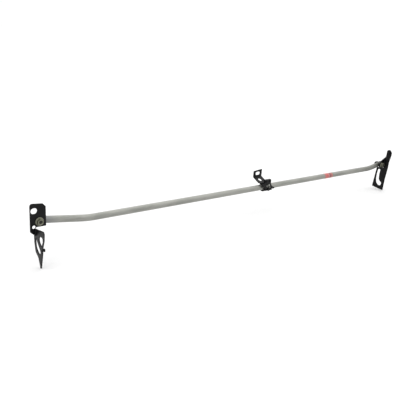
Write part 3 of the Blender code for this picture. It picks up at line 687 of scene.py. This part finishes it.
class Track:
    """A line of straight runs and bends in a plane, along which a flat blank is folded.

    Corners are (u, v, radius) in millimetres, and the radius is the bend's inner one. The sheet lies to the
    line's left, so on a left bend the line follows the outer face.
    """

    def __init__(self, corners, thickness):
        self.runs = []
        self.starts = {}
        points = [Vector(c[:2]) * MM for c in corners]
        distance = 0.0
        here = points[0]
        for i in range(1, len(points)):
            ahead = (points[i] - points[i - 1]).normalized()
            last = i == len(points) - 1
            turn = 0.0
            if not last:
                after = (points[i + 1] - points[i]).normalized()
                turn = math.atan2(ahead.x * after.y - ahead.y * after.x, ahead.dot(after))
            radius = 0.0 if last else corners[i][2] * MM + (thickness if turn > 0 else 0)
            tangent = radius * math.tan(abs(turn) / 2)
            end = points[i] - ahead * tangent
            self.runs.append((distance, here, ahead, 0.0, 0.0))
            distance += (end - here).dot(ahead)
            self.starts[i] = distance
            if not last:
                self.runs.append((distance, end, ahead, turn, radius))
                distance += radius * abs(turn)
                here = points[i] + after * tangent
        self.length = distance

    def corner(self, number, beyond=0.0):
        """The distance at which a corner's bend starts, or, with beyond, of a point past the sharp corner."""
        if not beyond:
            return self.starts[number]
        run = next(r for r in self.runs if r[0] >= self.starts[number] and r[3] == 0.0)
        bend = next(r for r in self.runs if r[0] == self.starts[number] and r[3] != 0.0)
        return run[0] + beyond - bend[4] * math.tan(abs(bend[3]) / 2)

    def stations(self, step=math.radians(9)):
        """The distances at which the bends are cut, so that the folded sheet is smooth."""
        found = []
        for start, _, _, turn, radius in self.runs:
            if turn:
                count = max(3, round(abs(turn) / step))
                found += [start + radius * abs(turn) * k / count for k in range(count + 1)]
        return found

    def place(self, distance, depth):
        """The point at a distance along the track and a depth into the sheet."""
        started = [run for run in self.runs if run[0] <= distance + TINY]
        start, here, ahead, turn, radius = started[-1] if distance > 0 else self.runs[0]
        left = Vector((-ahead.y, ahead.x))
        if not turn:
            return here + ahead * (distance - start) + left * depth
        sign = 1 if turn > 0 else -1
        centre = here + left * radius * sign
        angle = sign * (distance - start) / radius
        return centre + Matrix.Rotation(angle, 2) @ (-left * radius * sign + left * depth)


def cut_at(shape, distances):
    """Adds edges across a blank at each distance along it."""
    for distance in distances:
        everything = [*shape.verts, *shape.edges, *shape.faces]
        place = (distance, 0, 0)
        bmesh.ops.bisect_plane(shape, geom=everything, dist=1e-7, plane_co=place, plane_no=(1, 0, 0))


def fold(shape, track, across):
    """Folds a blank along a track in the YZ plane. Its x runs along the track, and its y becomes across."""
    cut_at(shape, track.stations())
    for vert in shape.verts:
        y, z = track.place(vert.co.x, vert.co.z)
        vert.co = across + Vector((vert.co.y, y, z))
    return shape


# ---------------------------------------------------------------- tube and label


def tube_stations():
    """Centre points with their directions, from the left end to the right."""
    left_slope = Vector((math.cos(LEFT_BEND_ANGLE), 0, -math.sin(LEFT_BEND_ANGLE)))
    right_slope = Vector((math.cos(RIGHT_BEND_ANGLE), 0, math.sin(RIGHT_BEND_ANGLE)))
    left = (LEFT_PIVOT + left_slope * LEFT_LEG, -LEFT_BEND_ANGLE, LEFT_BEND_ANGLE, LEFT_BEND_R)
    right = (RIGHT_PIVOT - right_slope * RIGHT_LEG, 0.0, RIGHT_BEND_ANGLE, RIGHT_BEND_R)
    found = [(LEFT_PIVOT - left_slope * END_OVERHANG, left_slope)]
    for corner, first, turn, radius in (left, right):
        enter = Vector((math.cos(first), 0, math.sin(first)))
        centre = corner - enter * radius * math.tan(turn / 2) + Vector((-enter.z, 0, enter.x)) * radius
        for i in range(BEND_STEPS + 1):
            angle = first + turn * i / BEND_STEPS
            ahead = Vector((math.cos(angle), 0, math.sin(angle)))
            found.append((centre - Vector((-ahead.z, 0, ahead.x)) * radius, ahead))
    found.append((RIGHT_PIVOT + right_slope * END_OVERHANG, right_slope))
    return found


def sweep(stations, outer, inner, edge):
    """A tube of two walls along the stations, whose end edges are softened."""
    shape = bmesh.new()
    first, last = stations[0], stations[-1]
    lead_in = (first[0] + first[1] * edge, first[1])
    lead_out = (last[0] - last[1] * edge, last[1])
    route = [(*first, 1), (*lead_in, 0), *[(*s, 0) for s in stations[1:-1]], (*lead_out, 0), (*last, 1)]
    walls = []
    for radius, sign in ((outer, -1), (inner, 1)):
        rings = []
        for centre, ahead, is_end in route:
            up = Vector((-ahead.z, 0, ahead.x))
            here = radius + sign * edge * is_end
            turns = [2 * math.pi * i / TUBE_SIDES for i in range(TUBE_SIDES)]
            ring = [centre + Vector((0, math.cos(a), 0)) * here + up * here * math.sin(a) for a in turns]
            rings.append([shape.verts.new(point) for point in ring])
        walls.append(rings)
    pairs = [pair for rings in walls for pair in zip(rings, rings[1:])]
    pairs += [(walls[0][0], walls[1][0]), (walls[0][-1], walls[1][-1])]
    for low, high in pairs:
        for i in range(TUBE_SIDES):
            j = (i + 1) % TUBE_SIDES
            shape.faces.new((low[i], low[j], high[j], high[i]))
    return shape


def make_tube():
    tube = add_piece("main_tube", sweep(tube_stations(), TUBE_R, TUBE_R - TUBE_WALL, 0.25 * MM))
    half = 15 * MM
    hole_r = SLEEVE_R + GAP
    drill = [(0, -half), (hole_r, -half), (hole_r, half), (0, half)]
    subtract(tube, [lathe(drill, at(pivot)) for pivot in (LEFT_PIVOT, RIGHT_PIVOT)])


def make_label():
    low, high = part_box("label_band")
    outer = (high.z - low.z) / 2
    ends = [Vector((x, CLAMP_AXIS.y, CLAMP_AXIS.z)) for x in (low.x, high.x)]
    ahead = Vector((1, 0, 0))
    add_piece("label_band", sweep([(end, ahead) for end in ends], outer, outer - LABEL_FILM, 0.06 * MM))


# ---------------------------------------------------------------- pivot hardware


def make_saddle(side, which, pivot, tilt):
    """A block with a trough for the tube: it turns the round wall into a flat face."""
    sign = -1 if which == "front" else 1
    low, high = sorted((sign * 5 * MM, sign * SADDLE_FACE))
    edge = EDGE
    radius = SADDLE_R if sign < 0 else BACK_SADDLE_R
    stages = [(0, low), (radius - edge, low), (radius, low + edge)]
    stages += [(radius, high - edge), (radius - edge, high), (0, high)]
    piece = add_piece(f"{side}_{which}_saddle", lathe(stages, at(pivot)))
    half = 2 * SADDLE_R
    reach = TUBE_R + GAP
    turn = at(pivot) @ Matrix.Rotation(tilt, 4, "Y") @ Matrix.Rotation(math.pi / 2, 4, "Z")
    trough = lathe([(0, -half), (reach, -half), (reach, half), (0, half)], turn, 96)
    bore = lathe([(0, -half), (BOLT_HOLE_R, -half), (BOLT_HOLE_R, half), (0, half)], at(pivot))
    subtract(piece, [trough, bore])


def make_pivot(side, pivot, tilt, outward):
    """The stack on one pivot bolt, from the bolt's head to the lock nut, and the plug in the tube's end."""
    place = at(pivot)
    make_saddle(side, "front", pivot, tilt)
    make_saddle(side, "back", pivot, tilt)
    add_piece(f"{side}_pivot_bolt", lathe(pivot_bolt_stages(), place), 28)
    nylon_back = -SADDLE_FACE - GAP
    nylon = washer_stages(BOLT_HOLE_R, SADDLE_R, nylon_back - NYLON_THICK, nylon_back, 0.15 * MM)
    add_piece(f"{side}_nylon_washer", lathe(nylon, place))
    front = SADDLE_FACE + GAP
    washer = washer_stages(BOLT_HOLE_R, WASHER_R, front, front + WASHER_THICK)
    add_piece(f"{side}_back_washer", lathe(washer, place))
    add_piece(f"{side}_lock_nut", lathe(lock_nut_stages(), place), 28)
    nut_end = front + WASHER_THICK + GAP + NUT_THICK
    insert = washer_stages(BOLT_R + GAP, 6.0 * MM, nut_end - INSERT_THICK + GAP, nut_end - GAP, 0.2 * MM)
    add_piece(f"{side}_nut_insert", lathe(insert, place))
    reach = TUBE_R - 3.2 * MM
    add_piece(f"{side}_crush_sleeve", lathe(washer_stages(BOLT_HOLE_R, SLEEVE_R, -reach, reach), place))
    turn = place @ Matrix.Rotation(tilt, 4, "Y") @ Matrix.Rotation(-outward * math.pi / 2, 4, "Z")
    add_piece(f"{side}_end_plug", lathe(end_plug_stages(), turn))


# ---------------------------------------------------------------- brackets


def fold_bracket(shape, pivot, bend_start, is_wing, is_ear=None):
    """Folds a bracket's blank, whose x runs along the sheet, y is height, and z is depth behind the front.

    is_wing and is_ear tell, by distance and height, where the sheet stays flat in spite of the bend.
    """
    cut_at(shape, [bend_start + BEND_LENGTH * k / 8 for k in range(9)])
    centre = Vector((bend_start, EAR_FRONT - BEND_IN_R))
    for vert in shape.verts:
        s, z, depth = vert.co
        radius = BEND_IN_R + depth
        if (is_ear and is_ear(s, z)) or (s <= bend_start and not is_wing(s, z)):
            x, y = s, EAR_FRONT + depth
        elif s >= bend_start + BEND_LENGTH or is_wing(s, z):
            x, y = centre.x + radius, centre.y - (s - bend_start - BEND_LENGTH)
        else:
            angle = (s - bend_start) / NEUTRAL_R
            x, y = centre.x + radius * math.sin(angle), centre.y + radius * math.cos(angle)
        vert.co = pivot + Vector((x, y, z))
    return shape


def wing_to_blank(corners, bend_start):
    """Corners given as (y, z, radius) on the wing, as (distance along the sheet, z, radius) on the blank."""
    zero = (bend_start + BEND_LENGTH + EAR_FRONT - BEND_IN_R) / MM
    return [(zero - y, z, radius) for y, z, radius in corners]


def make_left_bracket():
    """Ear with two holes and a chamfered corner, a neck, and a spear-shaped wing with a slanted slot."""
    start = LEFT_BEND_START / MM
    wing_edge = [
        (-2.6, -38.2, 3),
        (-4.0, -57, 12),
        (-10.5, -82, 14),
        (-26.5, -92.5, 12),
        (-33.5, -107, 12),
        (-37.5, -117.95, 1.2),
        (-41, -117.95, 1.2),
        (-45.2, -100, 20),
        (-50.5, -72, 20),
        (-51.8, -58, 10),
        (-59, -38, 6),
        (-60.4, -14.5, 6),
        (-51, -13.8, 3),
    ]
    outline = [
        (-24.5, -26, 3),
        (start, -37, 1),
        (start + 6.2, -37, 0),
        (start + 6.2, -38.2, 0),
        *wing_to_blank(wing_edge, LEFT_BEND_START),
        (start + 5.5, -18.8, 0.6),
        (start + 0.4, -17.6, 0.5),
        (-8.4, -14.2, 0.8),
        (18.4, -14.2, 2),
        (17.6, 38.5, 2.5),
        (9.5, 46.3, 2.5),
        (-25.2, 49.5, 7),
    ]
    slot = [
        (-12.2, -43.5, 1.5),
        (-11.6, -52, 12),
        (-13.0, -63, 12),
        (-17.0, -72, 10),
        (-26, -79, 8),
        (-34.5, -84, 1.8),
        (-40.5, -74, 3),
        (-34.5, -66, 12),
        (-25.5, -56.5, 14),
        (-18.0, -47, 10),
        (-17.0, -43.5, 1.5),
    ]
    window = [(-33.0, -33.5, 5.5), (-29.5, -45, 14), (-44.5, -58.0, 1.5), (-53.2, -42, 14), (-52.5, -30.5, 6)]
    stud_hole = wing_to_blank([(*LEFT_STUD, 0)], LEFT_BEND_START)[0]
    shackle_hole = rectangle((-22.8, 21.5), (-5.2, 36.9), 7.6)
    holes = [circle(0, 0, BOLT_HOLE_R / MM), shackle_hole, circle(-14.6, -13.4, 4.6)]
    holes += [rounded(wing_to_blank(loop, LEFT_BEND_START)) for loop in (slot, window)]
    holes.append(circle(stud_hole[0], stud_hole[1], STUD_HOLE_R, 24))
    notch = Vector((start, -17.6))

    def is_ear(s, z):
        s, z = s / MM, z / MM
        rise = min(0.36 * (s - notch.x), 1.3 + 0.0594 * (s - notch.x - 3.6))
        return notch.x < s < 19 and z > notch.y + rise

    def is_wing(s, z):
        return z < -37.6 * MM

    blank = flat_blank(rounded(outline), holes, PLATE)
    fold_bracket(blank, LEFT_PIVOT, LEFT_BEND_START, is_wing, is_ear)
    add_piece("left_bracket", blank)
    foot = at(LEFT_PIVOT + Vector((LEFT_BEND_START + BEND_IN_R, LEFT_STUD[0] * MM, LEFT_STUD[1] * MM)))
    turn = Matrix.Rotation(-math.pi / 2, 4, "Z")
    add_piece("left_bracket_stud", lathe(stud_stages(4.6 * MM, 9 * MM), foot @ turn))


def make_right_bracket():
    """Small ear round the bolt, and a wing across the bar with an upright finger and a J-shaped slot."""
    start = RIGHT_BEND_START / MM
    wing_edge = [
        (-17.6, -14.6, 0.3),
        (14.5, -17.2, 4),
        (19.0, -62, 40),
        (23.5, -102, 3),
        (-29.0, -109, 3),
        (-31.5, -62, 40),
        (-37.0, -10, 30),
        (-37.5, 13, 20),
        (-43.0, 42, 12),
        (-43.5, 55, 10),
        (-34.0, 66.5, 9),
        (-21.0, 62, 8),
        (-20.5, 40, 12),
        (-17.9, 32, 5),
    ]
    outline = [
        (-13.5, -8, 6),
        (-2, -13.5, 3),
        (start + 6, -13.5, 0.8),
        *wing_to_blank(wing_edge, RIGHT_BEND_START),
        (start, 25.5, 3),
        (-4, 18.5, 8),
        (-13.5, 8, 6),
    ]
    slot = [
        (6.5, -23.5, 4.5),
        (10.0, -42, 30),
        (10.4, -66, 22),
        (6.5, -84, 14),
        (-4.5, -92.5, 9),
        (-16.5, -91.5, 6.5),
        (-18.5, -78, 6.5),
        (-9.0, -73.0, 6),
        (-3.5, -65, 6),
        (-2.5, -42, 30),
        (-4.5, -23.5, 4.5),
    ]
    stud_hole = wing_to_blank([(*RIGHT_STUD, 0)], RIGHT_BEND_START)[0]
    holes = [circle(0, 0, BOLT_HOLE_R / MM), rounded(wing_to_blank(slot, RIGHT_BEND_START))]
    holes.append(circle(stud_hole[0], stud_hole[1], STUD_HOLE_R, 24))

    def is_wing(s, z):
        return z < -14.0 * MM

    blank = flat_blank(rounded(outline), holes, PLATE)
    fold_bracket(blank, RIGHT_PIVOT, RIGHT_BEND_START, is_wing)
    add_piece("right_bracket", blank)
    face = RIGHT_BEND_START + BEND_IN_R + PLATE
    foot = at(RIGHT_PIVOT + Vector((face, RIGHT_STUD[0] * MM, RIGHT_STUD[1] * MM)))
    turn = Matrix.Rotation(math.pi / 2, 4, "Z")
    add_piece("right_bracket_stud", lathe(stud_stages(6.5 * MM, 8 * MM), foot @ turn))


# ---------------------------------------------------------------- clamp


def arc_corners(radius, start, end, count):
    """Corners whose bends join into one arc round the origin, from start to end in degrees."""
    half = math.radians(abs(end - start) / count / 2)
    reach = radius / math.cos(half)
    found = []
    for i in range(count):
        a = math.radians(start + (end - start) * (i + 0.5) / count)
        found.append((reach * math.cos(a), reach * math.sin(a), radius))
    return found


def on_arc(radius, angle):
    return radius * math.cos(math.radians(angle)), radius * math.sin(math.radians(angle)), 0


def make_liner():
    radius = LINER_BORE_R / MM
    end = 128
    corners = [on_arc(radius, end), *arc_corners(radius, end, -end, 3), on_arc(radius, -end)]
    track = Track(corners, LINER_THICK)
    half = HALF_BAND / MM
    blank = flat_blank(rectangle((0, -half), (track.length / MM, half), 0.8), [], LINER_THICK, 0.35 * MM)
    add_piece("clamp_liner", fold(blank, track, CLAMP_AXIS))


def make_band():
    radius = BAND_R / MM
    corners = [(FLANGE_BACK_Y, FLANGE_TOP, 0), (FLANGE_BACK_Y, 10.9, 0.8), *arc_corners(radius, 100, -135, 3)]
    corners += [(CRANK_Y, LOWER_FLANGE_Z, 1), (-20.5, LOWER_FLANGE_Z, 0)]
    track = Track(corners, SHEET)
    half = HALF_BAND / MM
    screw_s = FLANGE_TOP - SCREW_Z
    pinch_s = track.corner(5, (CRANK_Y - PINCH_Y) * MM) / MM
    holes = [circle(screw_s, x, SCREW_HOLE_R, 28) for x in (-SCREW_X, SCREW_X)]
    holes.append(circle(pinch_s, 0, SCREW_HOLE_R, 28))
    blank = flat_blank(rectangle((0, -half), (track.length / MM, half), 1.2), holes, SHEET)
    add_piece("clamp_band", fold(blank, track, CLAMP_AXIS))


def make_strap():
    """Tab, shelf and flange, folded from one blank; the tab has an oblong eye and the shelf a round hole."""
    tab_top = 56
    shelf_left = -31
    shelf_right = 8
    over_band = (4, 17.6)
    slope = 0.5
    shelf_top = over_band[1] + (30 - over_band[0]) * slope
    corners = [(30, tab_top, 0), (30, shelf_top, 1.5), (*over_band, 3)]
    corners += [(-4.4, 17.47, 1.5), (-4.4, FLANGE_TOP, 0)]
    track = Track(corners, SHEET)
    half = HALF_BAND / MM
    end = track.length / MM
    shelf_end = track.corner(3) / MM - 0.3
    ear_start = end - 10
    outline = [
        (tab_top - 50.8, shelf_left, 1.5),
        (shelf_end, shelf_left, 1.5),
        (shelf_end, -half, 0.6),
        (end, -half, 1.5),
        (end, half, 1.5),
        (ear_start, half, 1),
        (ear_start, shelf_right, 1),
        (tab_top - 54.8, shelf_right, 1.5),
    ]
    eye = rectangle((tab_top - 47, -21.5), (tab_top - 35.5, -0.5), 5.7)
    hole_s = track.corner(1, (30 - 15.3) * math.hypot(1, slope) * MM) / MM
    screw_s = end - (FLANGE_TOP - SCREW_Z)
    holes = [eye, circle(hole_s, -12.9, 6.9)]
    holes += [circle(screw_s, x, SCREW_HOLE_R, 28) for x in (-SCREW_X, SCREW_X)]
    add_piece("clamp_strap", fold(flat_blank(rounded(outline), holes, SHEET), track, CLAMP_AXIS))


def make_front_plate():
    """A plate with a window: a shoulder on its left, and a foot that flares right and turns back as a lip."""
    top = (-12.5, 27.5)
    knee = (-12.5, 15)
    foot = (-21.5, -5.0)
    track = Track([(*top, 0), (*knee, 2), (*foot, 0.5), (-12.8, -5.0, 0)], SHEET)
    half = HALF_BAND / MM
    flare = 26.5
    shoulder = -29.9
    end = track.length / MM
    slope = math.hypot(foot[0] - knee[0], foot[1] - knee[1]) / (knee[1] - foot[1])

    def at_height(z):
        return track.corner(1, (knee[1] - z) * slope * MM) / MM

    outline = [
        (0, -half, 2),
        (top[1] - 16.2, -half, 2),
        (at_height(13.6), shoulder, 1.5),
        (at_height(-4.4), -half, 2),
        (end, -half, 1),
        (end, flare, 1),
        (at_height(-0.5), flare, 2),
        (at_height(6), half, 6),
        (0, half, 2),
    ]
    window = rectangle((at_height(12), -9.5), (at_height(-2.2), 9.5), 1.5)
    pinch_s = track.corner(2, (PINCH_Y - foot[0]) * MM) / MM
    holes = [window, circle(pinch_s, 0, SCREW_HOLE_R, 28)]
    holes += [circle(top[1] - SCREW_Z, x, SCREW_HOLE_R, 28) for x in (-SCREW_X, SCREW_X)]
    add_piece("clamp_front_plate", fold(flat_blank(rounded(outline), holes, SHEET), track, CLAMP_AXIS))


def make_clamp_fasteners():
    plate_front = -12.5 * MM
    nut_start = -4.1 * MM
    screw = small_screw_stages(plate_front - GAP, nut_start)
    for side, x in (("left", -SCREW_X), ("right", SCREW_X)):
        place = at(CLAMP_AXIS + Vector((x, 0, SCREW_Z)) * MM)
        add_piece(f"clamp_{side}_screw", lathe(screw, place, SMALL_STEPS), 30)
        add_piece(f"clamp_{side}_nut", lathe(small_nut_stages(nut_start), place, SMALL_STEPS), 30)
    place = at(CLAMP_AXIS + Vector((0, PINCH_Y, 0)) * MM) @ Matrix.Rotation(math.pi / 2, 4, "X")
    under_flange = -8.1 * MM
    lip_top = -2.2 * MM
    add_piece("clamp_pinch_screw", lathe(small_screw_stages(under_flange, lip_top), place, SMALL_STEPS), 30)
    add_piece("clamp_pinch_nut", lathe(small_nut_stages(lip_top), place, SMALL_STEPS), 30)


# ---------------------------------------------------------------- camera, floor and light

VIEW_AZIMUTH = math.radians(-41.9)
VIEW_ELEVATION = math.radians(18.19)
VIEW_ROLL = math.radians(4.57)
CAMERA_PLACE = Vector((-0.5934, -1.2890, 0.5437))
LENS = 50


def make_camera():
    data = bpy.data.cameras.new("camera")
    data.lens = LENS
    data.sensor_width = 36
    data.clip_start = 0.05
    camera = bpy.data.objects.new("camera", data)
    level = math.cos(VIEW_ELEVATION)
    aim = -Vector((math.sin(VIEW_AZIMUTH) * level, -math.cos(VIEW_AZIMUTH) * level, math.sin(VIEW_ELEVATION)))
    camera.rotation_mode = "QUATERNION"
    camera.rotation_quaternion = aim.to_track_quat("-Z", "Y") @ Quaternion((0, 0, 1), VIEW_ROLL)
    camera.location = CAMERA_PLACE
    bpy.context.scene.collection.objects.link(camera)
    bpy.context.scene.camera = camera


def make_floor():
    half = 14
    mesh = bpy.data.meshes.new("floor")
    shape = bmesh.new()
    bmesh.ops.create_grid(shape, x_segments=1, y_segments=1, size=half)
    shape.to_mesh(mesh)
    shape.free()
    floor = bpy.data.objects.new("floor", mesh)
    floor.location = (CLAMP_AXIS.x, CLAMP_AXIS.y, CAD_BOX[0].z - 0.5 * MM)
    material, _, _ = new_material("floor_paint", 0.95, 0.0, (0.69, 0.69, 0.69), 0.0)
    mesh.materials.append(material)
    bpy.context.scene.collection.objects.link(floor)


def add_area_light(name, place, target, size, power):
    data = bpy.data.lights.new(name, "AREA")
    data.shape = "RECTANGLE"
    data.size, data.size_y = size
    data.energy = power
    light = bpy.data.objects.new(name, data)
    light.location = place
    light.rotation_euler = (Vector(target) - Vector(place)).to_track_quat("-Z", "Y").to_euler()
    bpy.context.scene.collection.objects.link(light)


def make_light():
    """A white surround that brightens overhead, and two soft lights that add some direction."""
    world = bpy.data.worlds.new("studio")
    bpy.context.scene.world = world
    world.use_nodes = True
    tree = world.node_tree
    background = tree.nodes["Background"]
    background.inputs["Color"].default_value = (1, 1, 1, 1)
    place = tree.nodes.new("ShaderNodeTexCoord")
    split = tree.nodes.new("ShaderNodeSeparateXYZ")
    tree.links.new(place.outputs["Generated"], split.inputs["Vector"])
    tree.links.new(remap(tree, split.outputs["Z"], 0, 1, 1.02, 1.75), background.inputs["Strength"])
    middle = tuple(CLAMP_AXIS)
    add_area_light("key", (-0.6, -1.0, 2.8), middle, (2.4, 2.4), 14)
    add_area_light("back", (2.2, 2.0, 2.2), middle, (2.0, 2.0), 8)
    bpy.context.scene.view_settings.view_transform = "Standard"


def main():
    make_camera()
    make_tube()
    make_label()
    make_pivot("left", LEFT_PIVOT, LEFT_BEND_ANGLE, -1)
    make_pivot("right", RIGHT_PIVOT, -RIGHT_BEND_ANGLE, 1)
    make_left_bracket()
    make_right_bracket()
    make_liner()
    make_band()
    make_strap()
    make_front_plate()
    make_clamp_fasteners()
    make_floor()
    make_light()


main()
